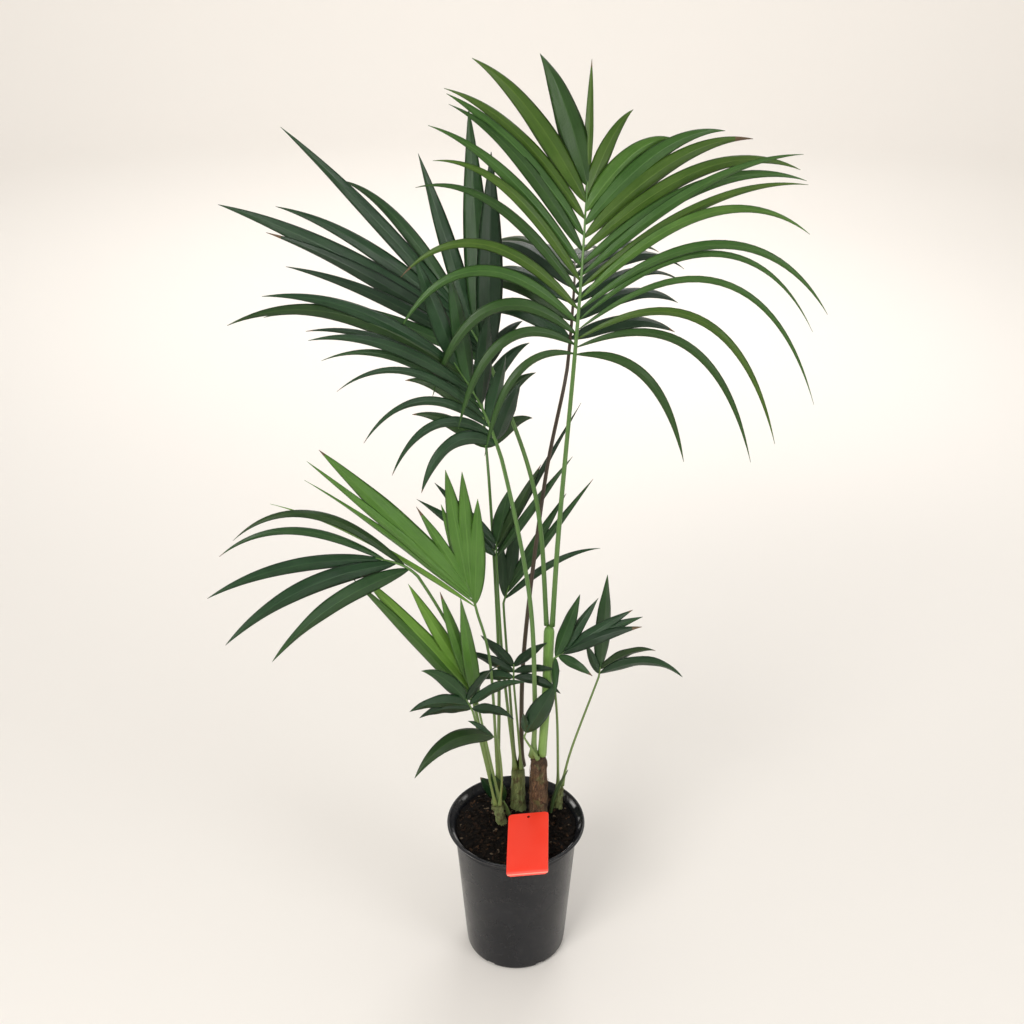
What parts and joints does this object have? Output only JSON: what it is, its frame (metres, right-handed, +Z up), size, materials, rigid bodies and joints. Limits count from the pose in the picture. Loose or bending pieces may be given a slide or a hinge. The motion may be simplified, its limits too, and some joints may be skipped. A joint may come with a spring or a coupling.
{
  "type": "kentia palm",
  "caption": "Potted kentia palm: sheathed stems, slender stalks and feather fronds of long leaflets in a round flared nursery pot with soil and a plain care tag.",
  "frame": {"origin": "centre of the pot's flat underside, where it stands on the floor", "axes": "+Z up along the plant's height; +X to the right seen from the front; the care tag and the pictured side face -Y"},
  "size_m": [0.8995, 0.729, 1.5284],
  "materials": {
    "pot_plastic": "satin charcoal moulded plastic",
    "soil": "matte dark potting soil with bark",
    "tag_plastic": "smooth orange-red card",
    "brown_sheath": "dry fibrous leaf sheath",
    "green_stalk": "smooth waxy stalk",
    "leaf_mid_green": "waxy leaf, mid green",
    "leaf_deep_green": "waxy leaf, deep green",
    "leaf_young_green": "young leaf, yellow green"
  },
  "bodies": {
    "root": {"care_tag": "tag_plastic", "frond_back": "leaf_deep_green", "frond_centre": "leaf_deep_green", "frond_centre_low": "leaf_deep_green", "frond_far_right": "leaf_deep_green", "frond_inner": "leaf_deep_green", "frond_inner_low": "leaf_deep_green", "frond_left_back": "leaf_deep_green", "frond_left_front": "leaf_deep_green", "frond_low_front": "leaf_deep_green", "frond_low_left": "leaf_deep_green", "frond_lowest": "leaf_deep_green", "frond_rear": "leaf_deep_green", "frond_right": "leaf_deep_green", "frond_shoot": "leaf_young_green", "frond_sprout": "leaf_deep_green", "frond_tall": "leaf_mid_green", "frond_young": "leaf_young_green", "pot": "pot_plastic", "soil": "soil", "stalk_back": "green_stalk", "stalk_centre": "green_stalk", "stalk_centre_low": "green_stalk", "stalk_far_right": "green_stalk", "stalk_inner": "green_stalk", "stalk_inner_low": "green_stalk", "stalk_left_back": "green_stalk", "stalk_left_front": "green_stalk", "stalk_low_front": "green_stalk", "stalk_low_left": "green_stalk", "stalk_lowest": "green_stalk", "stalk_rear": "green_stalk", "stalk_right": "green_stalk", "stalk_shared": "green_stalk", "stalk_shoot": "green_stalk", "stalk_spear": "green_stalk", "stalk_sprout": "green_stalk", "stalk_tall": "green_stalk", "stalk_young": "green_stalk", "stem_front": "brown_sheath", "stem_left": "brown_sheath", "stem_main": "brown_sheath", "stem_middle": "brown_sheath", "stem_right": "brown_sheath", "stem_sprout": "brown_sheath"}
  },
  "joints": []
}
